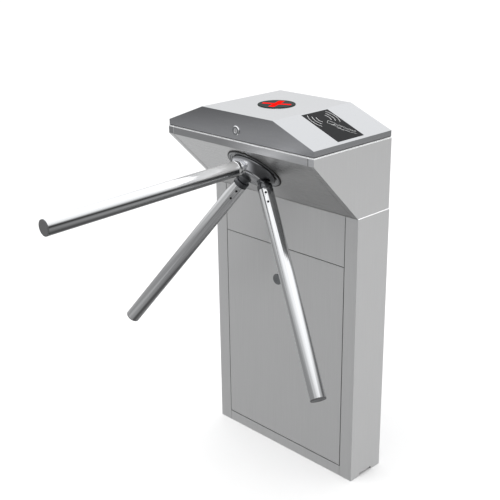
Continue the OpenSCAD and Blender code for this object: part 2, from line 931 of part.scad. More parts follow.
module lock_disc() {
    color("slategray")
    hub_frame()
        difference() {
            post(lock_r, LOCK_Z, LOCK_Z + LOCK_T);
            post(SHAFT_R + 0.02, LOCK_Z - 1, LOCK_Z + LOCK_T + 1);
            for (a = [0:60:300])
                rotate([0, 0, a])
                    slab([lock_r - 8, -5.5, LOCK_Z - 1], [lock_r + 5, 5.5, LOCK_Z + LOCK_T + 1]);
        }
}

module count_disc() {
    color("#303030")
    hub_frame()
        difference() {
            union() {
                post(COUNT_R, COUNT_Z, COUNT_Z + COUNT_T);
                post(18, COUNT_Z - 2, LOCK_Z);
            }
            post(SHAFT_R + 0.02, COUNT_Z - 5, LOCK_Z + 1);
            for (a = [0:30:330])
                rotate([0, 0, a + 15])
                    slab([31, -3, COUNT_Z - 1], [39, 3, COUNT_Z + COUNT_T + 1]);
        }
}

module shaft_nut() {
    color("gray")
    hub_frame()
        difference() {
            translate([0, 0, NUT_Z])
                cylinder(r = 19, h = COUNT_Z - 2 - NUT_Z, $fn = 6);
            post(SHAFT_R + 0.02, NUT_Z - 1, COUNT_Z);
        }
}

module damper_pinion() {
    color("ivory")
    hub_frame()
        translate([0, -MESH, 0]) {
            rotate([0, 0, 90])
                gear_blank(pinion_teeth, GEAR_Z, GEAR_T);
            post(PIVOT_R, GEAR_Z + GEAR_T, -36);
            post(8, GEAR_Z + GEAR_T, -51.5);
        }
}

// The right-hand pawl, as an outline about its pivot.
PAWL_ARM = [[-5, 8.6], [9, 38], [9.5, 47.5], [3.8, 47.7], [3.8, 56.3], [10.5, 56.5], [12, 60],
    [17, 60], [17, 36], [9.5, -3.2], [0, 0]];

module pawl() {
    translate([PAWL_X, PAWL_Y, LOCK_Z])
        difference() {
            union() {
                cylinder(r = 10, h = LOCK_T);
                linear_extrude(LOCK_T)
                    polygon(PAWL_ARM);
            }
            translate([0, 0, -1])
                cylinder(r = PIVOT_R + RUN, h = LOCK_T + 2);
        }
}

module pawl_left() {
    color("darkorange")
    hub_frame()
        mirror([1, 0, 0])
            pawl();
}

module pawl_right() {
    color("darkorange")
    hub_frame()
        pawl();
}

// The right-hand plunger, a stepped rod along X.
module plunger() {
    translate([PLUNGER_TIP_X, 0, PLUNGER_Z])
        rotate([0, 90, 0]) {
            post(4, 0, 11);
            post(6, 11, 52);
        }
}

module plunger_left() {
    color("silver")
    hub_frame()
        mirror([1, 0, 0])
            plunger();
}

module plunger_right() {
    color("silver")
    hub_frame()
        plunger();
}

base_plate();
cable_grommet();
left_side_panel();
right_side_panel();
rear_panel();
upper_front_panel();
bottom_rail();
left_cheek();
right_cheek();
slope_panel();
lid_gasket();
lid_hinge_leaves();
lid_hinge_pins();
lock_keepers();
hub_escutcheon();
mechanism_plate();
standoffs();
pawl_pivots();
bearing_housing();
shaft_bearings();
solenoid_frames();
solenoid_coils();
sensor_board();
damper_body();
control_board();
power_supply();
backup_battery();
equipment_plate();
lid_shell();
lid_hinge_straps();
indicator_bezel();
indicator_lens();
indicator_cross();
indicator_board();
reader_window_left();
reader_window_right();
reader_modules();
lid_lock_barrel();
lid_lock_cam();
front_door();
door_lock_barrel();
door_lock_cam();
hub_body();
hub_cap();
arm_tube_1();
arm_tube_2();
arm_tube_3();
arm_spigots();
arm_end_caps();
arm_set_screws();
main_shaft();
main_gear();
lock_disc();
count_disc();
shaft_nut();
damper_pinion();
pawl_left();
pawl_right();
plunger_left();
plunger_right();
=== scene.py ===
import itertools
import json
import math
import random

import bmesh
import bpy
from mathutils import Matrix, Vector


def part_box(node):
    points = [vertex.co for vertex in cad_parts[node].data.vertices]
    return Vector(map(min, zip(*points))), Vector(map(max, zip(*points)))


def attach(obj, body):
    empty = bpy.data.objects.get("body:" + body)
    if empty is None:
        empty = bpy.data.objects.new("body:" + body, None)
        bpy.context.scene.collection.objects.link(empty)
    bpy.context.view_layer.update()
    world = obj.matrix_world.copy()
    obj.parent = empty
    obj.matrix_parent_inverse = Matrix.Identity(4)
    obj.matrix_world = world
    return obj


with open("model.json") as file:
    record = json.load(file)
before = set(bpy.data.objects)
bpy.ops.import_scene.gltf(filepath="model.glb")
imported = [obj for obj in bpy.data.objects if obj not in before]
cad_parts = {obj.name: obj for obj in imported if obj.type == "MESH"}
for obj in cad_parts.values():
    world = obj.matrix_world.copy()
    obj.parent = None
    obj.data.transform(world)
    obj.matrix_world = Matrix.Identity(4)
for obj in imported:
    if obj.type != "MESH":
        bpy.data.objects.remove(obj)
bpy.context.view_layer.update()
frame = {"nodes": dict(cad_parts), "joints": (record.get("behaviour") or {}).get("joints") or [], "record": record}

# A floor-standing tripod turnstile. The imported CAD holds every part of it. This script rounds the
# edges of the parts and gives them their finishes, some of which paint light and shade into their
# colour. It adds printed marks, strips that paint highlight and shade lines at edges and seams, and
# small fittings, and sets the studio and the camera. Blender's objects are in metres. The mesh
# helpers, and the tables that go with them, are in millimetres.

MM = 0.001
UP = Vector((0, 0, 1))
FORWARD = Vector((0, -1, 0))
WELD_WITHIN = 0.001 * MM
SMOOTH_BELOW = math.radians(35)
FLAT_WITHIN = math.radians(0.6)
ROUND_ABOVE = math.radians(32)
RNG = random.Random(7)

# ---- the rotor's place, from the frame ----

ROTOR = next(j for j in frame["joints"] if j["name"] == "rotor_spin")
HUB_AXIS = Vector(ROTOR["axis"]).normalized()
HUB_AT = Vector(ROTOR["pos_m"])
HUB_HEIGHT = HUB_AT.dot(HUB_AXIS)


def hub_matrix():
    """The rotor's frame: z outward along the axis, x to the right, origin on the slope's face."""
    x_axis = Vector((1, 0, 0))
    y_axis = HUB_AXIS.cross(x_axis)
    turn = Matrix((x_axis, y_axis, HUB_AXIS)).transposed().to_4x4()
    return Matrix.Translation(HUB_AT) @ turn


# ---- mesh helpers, in millimetres ----


def add_vert(bm, x, y, z):
    """A vertex at a place in millimetres; the mesh itself is in metres."""
    return bm.verts.new((x * MM, y * MM, z * MM))


def add_piece(name, bm, finish, body, matrix=Matrix.Identity(4)):
    """Makes a bmesh a piece: welded, smooth but for its sharp edges, and riding on a body."""
    bmesh.ops.remove_doubles(bm, verts=bm.verts, dist=WELD_WITHIN)
    bmesh.ops.recalc_face_normals(bm, faces=bm.faces)
    bm.transform(matrix)
    for face in bm.faces:
        face.smooth = True
    for edge in bm.edges:
        edge.smooth = len(edge.link_faces) == 2 and edge.calc_face_angle(0) < SMOOTH_BELOW
    mesh = bpy.data.meshes.new(name)
    bm.to_mesh(mesh)
    bm.free()
    if matrix.is_negative:
        mesh.flip_normals()
    mesh.materials.append(MATERIALS[finish])
    piece = bpy.data.objects.new(name, mesh)
    bpy.context.scene.collection.objects.link(piece)
    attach(piece, body)


def on_circle(radius, step, steps):
    """The point that is so many even steps round a circle."""
    angle = 2 * math.pi * step / steps
    return radius * math.cos(angle), radius * math.sin(angle)


def bridge(bm, ring, after):
    """Faces from one closed ring of vertices to the next."""
    for i in range(len(ring)):
        k = (i + 1) % len(ring)
        bm.faces.new([ring[i], ring[k], after[k], after[i]])


def skin(bm, rings):
    """Joins a row of rings into a solid with flat ends."""
    for ring, after in zip(rings, rings[1:]):
        bridge(bm, ring, after)
    bm.faces.new(list(reversed(rings[0])))
    bm.faces.new(rings[-1])


def add_lathe(bm, profile, steps):
    """Turns a closed profile of (radius, height) points about Z."""
    rings = [[add_vert(bm, *on_circle(r, i, steps), z) for r, z in profile] for i in range(steps)]
    for i, ring in enumerate(rings):
        bridge(bm, ring, rings[(i + 1) % steps])


CAP_CHAMFER = 0.18  # of the radius or the height, whichever is less


def add_cap(bm, at, radius, height, axis, steps):
    """A round part standing on a point, along an axis, with a small chamfer at its end."""
    first = len(bm.verts)
    chamfer = min(radius, height) * CAP_CHAMFER
    profile = [(radius, 0), (radius, height - chamfer), (radius - chamfer, height)]
    skin(bm, [[add_vert(bm, *on_circle(r, i, steps), z) for i in range(steps)] for r, z in profile])
    bm.verts.ensure_lookup_table()
    turn = UP.rotation_difference(axis).to_matrix()
    foot = Vector([c * MM for c in at])
    for vert in bm.verts[first:]:
        vert.co = turn @ vert.co + foot


BOX_FACES = [(0, 1, 3, 2), (4, 6, 7, 5), (0, 4, 5, 1), (2, 3, 7, 6), (0, 2, 6, 4), (1, 5, 7, 3)]


def add_box(bm, low, high, bevel=0.0):
    """A box between two corners, its edges bevelled where a width is given."""
    verts = [add_vert(bm, *corner) for corner in itertools.product(*zip(low, high))]
    faces = [bm.faces.new([verts[i] for i in corners]) for corners in BOX_FACES]
    if bevel > 0:
        edges = list(dict.fromkeys(edge for face in faces for edge in face.edges))
        bmesh.ops.bevel(bm, geom=edges, offset=bevel * MM, segments=2, affect="EDGES", profile=0.5)


def add_ribbon(bm, centre, width, z0, z1):
    """A flat band of even width along a list of (x, y) points, between two heights."""
    left, right = [], []
    for i, (x, y) in enumerate(centre):
        ax, ay = centre[max(0, i - 1)]
        bx, by = centre[min(len(centre) - 1, i + 1)]
        length = math.hypot(bx - ax, by - ay)
        nx, ny = -(by - ay) / length * width / 2, (bx - ax) / length * width / 2
        left.append((x + nx, y + ny))
        right.append((x - nx, y - ny))
    low_l, low_r, high_l, high_r = (
        [add_vert(bm, *point, z) for point in side] for z in (z0, z1) for side in (left, right))
    for i in range(len(centre) - 1):
        k = i + 1
        bm.faces.new([high_l[i], high_r[i], high_r[k], high_l[k]])
        bm.faces.new([low_l[i], low_l[k], low_r[k], low_r[i]])
        bm.faces.new([low_l[i], high_l[i], high_l[k], low_l[k]])
        bm.faces.new([low_r[i], low_r[k], high_r[k], high_r[i]])
    bm.faces.new([low_l[0], low_r[0], high_r[0], high_l[0]])
    bm.faces.new([low_l[-1], high_l[-1], high_r[-1], low_r[-1]])


def add_bead(bm, section, path):
    """Sweeps a closed section of (outward, height) points along a path.

    Each point of the path is (x, y, step_x, step_y), where the step is the outward direction.
    """
    skin(bm, [[add_vert(bm, x + step_x * out, y + step_y * out, z) for out, z in section]
              for x, y, step_x, step_y in path])


def arc(centre, radius, start, end, steps=18):
    """Points on an arc between two angles in degrees."""
    angles = [math.radians(start + (end - start) * i / steps) for i in range(steps + 1)]
    return [(centre[0] + radius * math.cos(a), centre[1] + radius * math.sin(a)) for a in angles]


def turned(points, at, degrees):
    """Turns (x, y) points about the origin, then moves them to a place."""
    c, s = math.cos(math.radians(degrees)), math.sin(math.radians(degrees))
    return [(at[0] + x * c - y * s, at[1] + x * s + y * c) for x, y in points]


# ---- nodes ----


def opaque(color):
    """A colour with its alpha; another node's output stays as it is."""
    return (*color, 1) if isinstance(color, tuple) else color


class Nodes:
    """Short ways to add nodes to a tree. An input is a value or another node's output."""

    def __init__(self, tree):
        self.tree = tree

    def add(self, kind, inputs=None, **settings):
        """Adds a node. The inputs go by name or number, the settings are the node's own."""
        node = self.tree.nodes.new(kind)
        for key, value in settings.items():
            setattr(node, key, value)
        for key, value in (inputs or {}).items():
            if isinstance(value, bpy.types.NodeSocket):
                self.tree.links.new(value, node.inputs[key])
            else:
                node.inputs[key].default_value = value
        return node

    def math(self, operation, first, second):
        node = self.add("ShaderNodeMath", {0: first, 1: second}, operation=operation)
        return node.outputs["Value"]

    def spread(self, value, low, high, start=0.3, end=0.7, interpolation="LINEAR"):
        """Carries the range from start to end over to the range from low to high."""
        node = self.add("ShaderNodeMapRange", {
            "Value": value, "From Min": start, "From Max": end, "To Min": low, "To Max": high,
        }, interpolation_type=interpolation)
        return node.outputs["Result"]

    def fade(self, value, start, end, low=0.0, high=1.0):
        """As spread, but with an ease at both ends."""
        return self.spread(value, low, high, start, end, "SMOOTHSTEP")

    def along(self, vector, direction):
        """How far a vector reaches along a direction."""
        node = self.add("ShaderNodeVectorMath", {0: vector, 1: direction}, operation="DOT_PRODUCT")
        return node.outputs["Value"]

    def ramp(self, value, stops, scale=1.0):
        """Levels for a value from -1 to 1, by (value, level) stops. No level is above the scale."""
        node = self.add("ShaderNodeValToRGB", {"Fac": self.spread(value, 0.0, 1.0, -1.0, 1.0)})
        elements = node.color_ramp.elements
        while len(elements) < len(stops):
            elements.new(0.5)
        for element, (at, level) in zip(elements, stops):
            share = level / scale
            element.position = (at + 1) / 2
            element.color = (share, share, share, 1)
        return self.math("MULTIPLY", node.outputs["Color"], scale)


class Shader(Nodes):
    """A node material with one Principled shader."""

    def __init__(self, name, color, metallic=0.0, roughness=0.5, specular=0.5, coat=0.0):
        self.name = name
        self.color = color
        self.material = bpy.data.materials.new(name)
        self.material.use_nodes = True
        super().__init__(self.material.node_tree)
        self.bsdf = self.tree.nodes["Principled BSDF"]
        self.bsdf.inputs["Base Color"].default_value = opaque(color)
        self.bsdf.inputs["Metallic"].default_value = metallic
        self.bsdf.inputs["Roughness"].default_value = roughness
        self.bsdf.inputs["Specular IOR Level"].default_value = specular
        self.bsdf.inputs["Coat Weight"].default_value = coat
        self.place = self.add("ShaderNodeTexCoord").outputs["Object"]

    def to(self, socket, output):
        self.tree.links.new(output, self.bsdf.inputs[socket])

    def base_color(self):
        return self.bsdf.inputs["Base Color"].links[0].from_socket

    def noise(self, scale, stretch=(1, 1, 1), detail=2.0, rough=0.5, offset=(0, 0, 0)):
        mapped = self.add("ShaderNodeMapping", {
            "Vector": self.place, "Scale": stretch, "Location": offset,
        }).outputs["Vector"]
        node = self.add("ShaderNodeTexNoise", {
            "Vector": mapped, "Scale": scale, "Detail": detail, "Roughness": rough,
        })
        return node.outputs["Fac"]

    def blend_colors(self, factor, first, second):
        """Runs from one colour to another, by a factor from nought to one."""
        node = self.add("ShaderNodeMix", {
            "Factor": factor, "A": opaque(first), "B": opaque(second),
        }, data_type="RGBA")
        return node.outputs["Result"]

    def vary(self, value, low, high):
        """Lets the base colour run between two brightnesses of itself."""
        dark = tuple(c * low for c in self.color)
        light = tuple(min(1.0, c * high) for c in self.color)
        self.to("Base Color", self.blend_colors(self.spread(value, 0.0, 1.0), dark, light))

    def dim(self, share):
        """Scales the base colour that is already there."""
        inputs = {0: self.base_color(), "Scale": share}
        node = self.add("ShaderNodeVectorMath", inputs, operation="SCALE")
        self.to("Base Color", node.outputs["Vector"])

    def bump(self, value, strength, distance):
        inputs = {"Height": value, "Strength": strength, "Distance": distance}
        self.to("Normal", self.add("ShaderNodeBump", inputs).outputs["Normal"])

    def wiping_marks(self, roughness, depth):
        """The faint cloudy marks of wiping on a polished face."""
        cloud = self.noise(14.0, detail=4.0)
        self.to("Roughness", self.spread(cloud, roughness, roughness + depth))
        self.bump(cloud, 0.02, 0.4 * MM)


# ---- kinds of finish ----

# How a noise is drawn out to make the grain of a sheet that is brushed along an axis.
GRAIN = {"x": (1.2, 160, 160), "z": (160, 160, 1.2)}


def brushed(name, color, roughness, along, metallic=1.0, strength=0.06):
    """Brushed stainless sheet: fine grain along one axis, and faint hand marks in the roughness."""
    s = Shader(name, color, metallic=metallic, roughness=roughness)
    grain = s.noise(9.0, GRAIN[along], detail=3.0, rough=0.65)
    marks = s.noise(4.5, detail=3.0)
    s.vary(grain, 0.955, 1.03)
    fine = s.spread(grain, roughness - 0.03, roughness + 0.03)
    s.to("Roughness", s.math("ADD", fine, s.spread(marks, -0.02, 0.025)))
    s.bump(grain, strength, 0.3 * MM)
    return s


def sheet_with_painted_shade(name, first, last, roughness, toward=(1, 0, 0), start=-0.06, end=0.07):
    """Brushed sheet with painted shade: its tint runs from one to another between two distances along a direction,
    to paint the light and reflection that its face shows.
    """
    s = brushed(name, first, roughness, "x", metallic=0.95, strength=0.04)
    s.dim(s.fade(s.along(s.place, toward), start, end, 1.0, last[0] / first[0]))
    return s


def polished(name, color, roughness):
    """Polished metal with faint cloudy wiping marks and hairline scratches."""
    s = Shader(name, color, metallic=1.0, roughness=roughness)
    s.vary(s.noise(60.0, (1, 9, 1), offset=(3, 1, 2)), 0.975, 1.015)
    s.wiping_marks(roughness, 0.03)
    return s


def metal_with_painted_highlight(name, dark, light, roughness, fades):
    """Polished metal with a painted highlight: light where every fade is full, dark elsewhere. A fade is
    (direction, start, end).
    """
    s = Shader(name, dark, metallic=1.0, roughness=roughness)
    shares = [s.fade(s.along(s.place, direction), start, end) for direction, start, end in fades]
    share = shares[0]
    for other in shares[1:]:
        share = s.math("MULTIPLY", share, other)
    s.to("Base Color", s.blend_colors(share, dark, light))
    s.wiping_marks(roughness, 0.05)
    return s


TUBE_ROUGHNESS, ROOT_HIGHLIGHT_METALLIC = 0.15, 0.42


def tube_polish(name, under, over, root=None, bands=()):
    """Mirror-polished tube, with a lighter tint painted on its upper side as a painted highlight and a darker one
    on the rest.

    A root (start, end), in metres along Y, is where the upper side goes over to a painted highlight near
    the hub: whiter and less metallic. Bands (height of the normal, share) dim the tint, which paints dark
    lines of reflection where the tube mirrors the studio's dark horizon.
    """
    s = Shader(name, under, metallic=1.0, roughness=TUBE_ROUGHNESS)
    height = s.along(s.add("ShaderNodeNewGeometry").outputs["Normal"], UP)
    # Painted highlight: the upper side takes the lighter tint.
    s.to("Base Color", s.blend_colors(s.fade(height, 0.3, 0.75), under, over))
    if bands:
        s.dim(s.ramp(height, bands))
    if root:
        # Painted highlight near the hub: the upper side turns whiter and less metallic.
        inner = s.fade(s.along(s.place, (0, 1, 0)), *root)
        root_highlight = s.math("MULTIPLY", inner, s.fade(height, 0.12, 0.5))
        s.to("Base Color", s.blend_colors(root_highlight, s.base_color(), (1.0, 1.0, 1.0)))
        s.to("Metallic", s.spread(root_highlight, 1.0, ROOT_HIGHLIGHT_METALLIC, 0.0, 1.0))
    s.wiping_marks(TUBE_ROUGHNESS, 0.03)
    return s


def plated(name, color, roughness):
    """Zinc plate or a machined face: soft mottling with a light grain."""
    s = Shader(name, color, metallic=1.0, roughness=roughness)
    mottle = s.noise(45.0, detail=5.0, rough=0.6)
    s.vary(mottle, 0.86, 1.08)
    s.to("Roughness", s.spread(mottle, roughness - 0.06, roughness + 0.1))
    s.bump(mottle, 0.08, 0.3 * MM)
    return s


def painted(name, color, roughness, orange_peel=0.12):
    """Powder coat or enamel: a fine orange-peel skin."""
    s = Shader(name, color, roughness=roughness, specular=0.45)
    cloud = s.noise(12.0, detail=3.0, offset=(1, 2, 3))
    s.vary(cloud, 0.9, 1.1)
    s.to("Roughness", s.spread(cloud, roughness - 0.05, roughness + 0.06))
    s.bump(s.noise(420.0), orange_peel, 0.2 * MM)
    return s


def moulded(name, color, roughness, grain=0.08):
    """Moulded plastic or rubber with a fine spark-eroded texture."""
    s = Shader(name, color, roughness=roughness, specular=0.4)
    tooth = s.noise(700.0)
    s.vary(s.noise(20.0, detail=3.0, offset=(5, 0, 1)), 0.9, 1.12)
    s.to("Roughness", s.spread(tooth, roughness - 0.05, roughness + 0.05))
    s.bump(tooth, grain, 0.15 * MM)
    return s


def acrylic(name, color, roughness, specular):
    """Matt back-painted acrylic with a little dust."""
    s = Shader(name, color, roughness=roughness, specular=specular)
    dust = s.noise(260.0, detail=4.0, rough=0.7)
    s.vary(dust, 0.8, 1.25)
    s.to("Roughness", s.spread(dust, roughness, roughness + 0.08))
    return s


def board(name, color):
    """Solder mask over copper tracks: the tracks show as a faint raised maze."""
    s = Shader(name, color, roughness=0.35, coat=0.2)
    tracks = s.add("ShaderNodeTexBrick", {"Vector": s.place, "Scale": 90.0, "Mortar Size": 0.035})
    raised = tuple(min(1, c * 1.7 + 0.02) for c in color)
    s.to("Base Color", s.blend_colors(tracks.outputs["Fac"], color, raised))
    s.bump(tracks.outputs["Fac"], 0.2, 0.2 * MM)
    return s


def copper_winding(name, color):
    """Enamelled wire wound on a bobbin: one ridge for each turn, along X."""
    s = Shader(name, color, metallic=1.0, roughness=0.3, coat=0.3)
    turns = s.add("ShaderNodeTexWave", {"Vector": s.place, "Scale": 380.0, "Distortion": 0.4},
                  bands_direction="X").outputs["Fac"]
    s.vary(turns, 0.55, 1.15)
    s.bump(turns, 0.5, 0.4 * MM)
    return s


def lit_red(name, shaded, bright, glow_shaded, glow_bright):
    """The lit cross: red light with the grid of its diodes just showing through the diffuser."""
    s = Shader(name, bright, specular=0.0)
    cells = s.add("ShaderNodeTexVoronoi", {"Vector": s.place, "Scale": 210.0, "Randomness": 0.0})
    share = s.spread(cells.outputs["Distance"], 1.0, 0.0)
    s.to("Base Color", s.blend_colors(share, shaded, bright))
    s.to("Emission Color", s.blend_colors(share, glow_shaded, glow_bright))
    s.bsdf.inputs["Emission Strength"].default_value = 0.7
    return s


# ---- the finishes: name, colour, roughness, and what else its kind takes ----

STEEL = (0.76, 0.76, 0.76)
# The tubes' tints paint light and shade: the upper side is lighter, as a painted highlight, and the side tube is
# near white.
TUBE_UNDER, TUBE_OVER = (0.55, 0.555, 0.56), (0.66, 0.665, 0.675)
SIDE_TUBE = (0.985, 0.99, 1.0)
# Each band is (height of the normal, share of the tint); the bands paint dark lines of reflection.
LEVEL_TUBE_BANDS = [
    (-1, 0.5), (-0.5, 0.58), (-0.3, 0.95), (-0.12, 1.0), (0.02, 0.7), (0.1, 0.42), (0.2, 0.45),
    (0.34, 0.95), (0.42, 1.0),
]
SIDE_TUBE_BANDS = [
    (-1, 0.3), (-0.5, 0.4), (-0.35, 0.95), (-0.1, 0.95), (0.05, 0.6), (0.3, 0.65), (0.5, 0.5),
    (1, 0.7),
]
# Painted highlight and shade: the hub is dark at its right and round its foot and light at its left, and the
# spigots are dark at their lower side and light above.
HUB_FADES = [((1, 0, 0), 0.040, 0.018), (HUB_AXIS, HUB_HEIGHT + 0.006, HUB_HEIGHT + 0.012)]
SPIGOT_FADES = [(UP, 0.824, 0.834)]
# The lid's front gable carries painted shade: dark at its upper left, running to light at its lower right.
GABLE_TOWARD, GABLE_START, GABLE_END = (0.5, 0, -3.67), -3.70, -3.35

MATERIALS = {shader.name: shader.material for shader in (
    brushed("panel_front", STEEL, 0.40, "z", metallic=0.92),
    brushed("panel_side", STEEL, 0.36, "z", metallic=0.71),
    # panel_head, lid_front, head_band and cheek_flange paint light and shade: each runs from one tint to another
    # across its face.
    sheet_with_painted_shade("panel_head", (0.70, 0.70, 0.70), (0.50, 0.50, 0.505), 0.28),
    brushed("lid_steel", (0.465, 0.47, 0.48), 0.18, "x", strength=0.02),
    sheet_with_painted_shade("lid_front", (0.225, 0.227, 0.235), (0.47, 0.473, 0.485), 0.22,
                 GABLE_TOWARD, GABLE_START, GABLE_END),
    sheet_with_painted_shade("head_band", (0.41, 0.412, 0.42), (0.65, 0.65, 0.66), 0.3),
    sheet_with_painted_shade("cheek_flange", (0.36, 0.362, 0.37), (0.72, 0.722, 0.73), 0.32),
    tube_polish("tube_chrome", TUBE_UNDER, TUBE_OVER),
    tube_polish("tube_chrome_level", TUBE_UNDER, TUBE_OVER, (-0.52, -0.26), LEVEL_TUBE_BANDS),
    tube_polish("tube_chrome_side", SIDE_TUBE, SIDE_TUBE, bands=SIDE_TUBE_BANDS),
    metal_with_painted_highlight("hub_metal", (0.19, 0.193, 0.20), (0.95, 0.96, 1.0), 0.13, HUB_FADES),
    metal_with_painted_highlight("spigot_metal", (0.14, 0.143, 0.15), (0.97, 0.97, 0.97), 0.16, SPIGOT_FADES),
    polished("hub_face", (0.42, 0.425, 0.435), 0.2),
    polished("escutcheon_metal", (0.25, 0.253, 0.26), 0.2),
    # A white polished metal for edges, whiter than the steel, which paints highlight lines.
    polished("edge_bright", (1.0, 1.0, 1.0), 0.12),
    polished("lock_chrome", (0.8, 0.8, 0.81), 0.1),
    polished("bearing_steel", (0.78, 0.79, 0.8), 0.12),
    polished("shaft_steel", (0.62, 0.62, 0.63), 0.24),
    plated("zinc_steel", (0.62, 0.62, 0.58), 0.34),
    plated("plate_aluminium", (0.74, 0.75, 0.77), 0.36),
    plated("supply_case", (0.62, 0.63, 0.64), 0.38),
    plated("screw_black", (0.05, 0.05, 0.052), 0.4),
    plated("pawl_steel", (0.36, 0.36, 0.38), 0.32),
    painted("end_cap", (0.075, 0.075, 0.078), 0.35, orange_peel=0.05),
    painted("foot_paint", (0.10, 0.10, 0.105), 0.55),
    painted("lock_dark", (0.09, 0.095, 0.10), 0.3, orange_peel=0.05),
    painted("damper_black", (0.02, 0.02, 0.022), 0.28, orange_peel=0.08),
    painted("print_white", (0.92, 0.93, 0.94), 0.5, orange_peel=0.03),
    moulded("black_rubber", (0.018, 0.018, 0.018), 0.6, grain=0.2),
    moulded("gear_nylon", (0.78, 0.76, 0.68), 0.42, grain=0.04),
    moulded("battery_case", (0.03, 0.034, 0.042), 0.5),
    moulded("module_plastic", (0.05, 0.05, 0.055), 0.5),
    moulded("component_black", (0.02, 0.02, 0.02), 0.45),
    acrylic("black_acrylic", (0.013, 0.0135, 0.0145), 0.3, specular=0.04),
    acrylic("indicator_dark", (0.020, 0.028, 0.026), 0.35, specular=0.012),
    lit_red("indicator_red", shaded=(0.42, 0.004, 0.003), bright=(0.6, 0.008, 0.005),
            glow_shaded=(0.85, 0.004, 0.002), glow_bright=(1.0, 0.008, 0.004)),
    copper_winding("coil_copper", (0.72, 0.30, 0.13)),
    board("board_green", (0.012, 0.10, 0.045)),
)}

# ---- CAD nodes: rounded edges and finishes ----

# A node takes the finish of its slot's name, but for these.
PANEL_FINISH = {
    "left_side_panel": "panel_side",
    "right_side_panel": "panel_side",
    "rear_panel": "panel_side",
    "left_cheek": "panel_side",
    "right_cheek": "panel_side",
    "slope_panel": "panel_head",
    "upper_front_panel": "panel_front",
    "bottom_rail": "panel_front",
    "front_door": "panel_front",
}
FINISH_OF = {
    **PANEL_FINISH,
    "arm_tube_1": "tube_chrome_level",
    "arm_tube_2": "tube_chrome_side",
    "arm_end_caps": "end_cap",
}

# Faces turned this way take another finish. For the lid's front, the slope panel's front band and the cheeks these
# are copies of the sheet in other tints, which paint the light and shade each face shows.
FACED = {
    "hub_body": [("hub_face", HUB_AXIS)],
    "hub_cap": [("hub_face", HUB_AXIS)],
    "lid_shell": [("lid_front", FORWARD)],
    "slope_panel": [("head_band", FORWARD)],
    "left_cheek": [("cheek_flange", FORWARD), ("panel_head", HUB_AXIS)],
    "right_cheek": [("cheek_flange", FORWARD), ("panel_head", HUB_AXIS)],
    "lid_lock_barrel": [("lock_dark", FORWARD)],
    "left_side_panel": [("panel_front", FORWARD)],
    "right_side_panel": [("panel_front", FORWARD)],
}
FACED_COSINE = 0.97

FINE_ROUND = 0.25 * MM
SHEET_ROUND = 0.7 * MM
ROUND_OF = {
    **dict.fromkeys([*PANEL_FINISH, "lid_shell", "equipment_plate", "lock_keepers"], SHEET_ROUND),
    "hub_body": 0.9 * MM,
    "hub_cap": 0.5 * MM,
    "base_plate": 1.0 * MM,
    "power_supply": 0.8 * MM,
    "backup_battery": 1.0 * MM,
    "mechanism_plate": 0.6 * MM,
}
UNROUNDED = {"lid_gasket", "shaft_bearings", "arm_set_screws", "indicator_cross", "indicator_lens"}


def round_edges(node, width):
    """Welds the CAD's triangles into faces and rounds the sharp edges."""
    weld = node.modifiers.new("weld", "WELD")
    weld.merge_threshold = WELD_WITHIN
    flat = node.modifiers.new("flat", "DECIMATE")
    flat.decimate_type = "DISSOLVE"
    flat.angle_limit = FLAT_WITHIN
    edge = node.modifiers.new("edge", "BEVEL")
    edge.width = width
    edge.segments = 2
    edge.limit_method = "ANGLE"
    edge.angle_limit = ROUND_ABOVE
    edge.use_clamp_overlap = True
    edge.harden_normals = True


def finish_cad_nodes():
    slots = {s["node"]: s["material_slot"] for s in frame["record"]["subparts"]}
    for name, node in frame["nodes"].items():
        node.data.materials.clear()
        node.data.materials.append(MATERIALS[FINISH_OF.get(name, slots[name])])
        for index, (finish, toward) in enumerate(FACED.get(name, []), 1):
            node.data.materials.append(MATERIALS[finish])
            for face in node.data.polygons:
                if (node.matrix_world.to_3x3() @ face.normal).dot(toward) > FACED_COSINE:
                    face.material_index = index
        if name not in UNROUNDED:
            round_edges(node, ROUND_OF.get(name, FINE_ROUND))


finish_cad_nodes()

# ---- printed marks on the reader windows ----

WINDOW_THICK = 3 * MM
# In millimetres on the window's face, with x down the slope and y to the back.
INK = 0.12
WAVE_LINE, CARD_LINE, HAND_LINE = 1.1, 0.6, 0.48
WAVE_CENTRE = (-30, 0)
WAVES = [(40.5, 38), (29.5, 35), (19, 36)]  # radius, and half the angle that the wave spans
CARD_AT, CARD_TURN = (-9, 4), 35
CARD = [(-9, -6), (9, -6), (9, 6), (-9, 6), (-9, -6)]
HAND = [
    [(-4, -1), (6, 3), (14, 3), (22, 8), (30, 9)],
    [(-3, 3), (5, 7), (12, 7), (18, 11)],
    [(-2, 12), (6, 13), (14, 18), (24, 20), (36, 30), (44, 36)],
    [(2, 19), (9, 18), (16, 23), (26, 26), (36, 35), (42, 40)],
    [(14, 3), (17, 8), (22, 8), (28, 14), (40, 22), (50, 32)],
]


def window_matrix():
    """The right window's frame: x down the slope, y to the back, z outward, origin on its face."""
    low, high = (Vector(corner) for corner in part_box("reader_window_right"))
    size = high - low
    # The box of a tilted slab, size_x = L cos + t sin and size_z = L sin + t cos, solved in steps.
    angle = math.atan2(size.z, size.x)
    for _ in range(20):
        length = (size.x - WINDOW_THICK * math.sin(angle)) / math.cos(angle)
        angle = math.asin((size.z - WINDOW_THICK * math.cos(angle)) / length)
    down = Vector((math.cos(angle), 0, -math.sin(angle)))
    out = Vector((math.sin(angle), 0, math.cos(angle)))
    turn = Matrix((down, Vector((0, 1, 0)), out)).transposed().to_4x4()
    return Matrix.Translation((low + high) / 2 + out * WINDOW_THICK / 2) @ turn


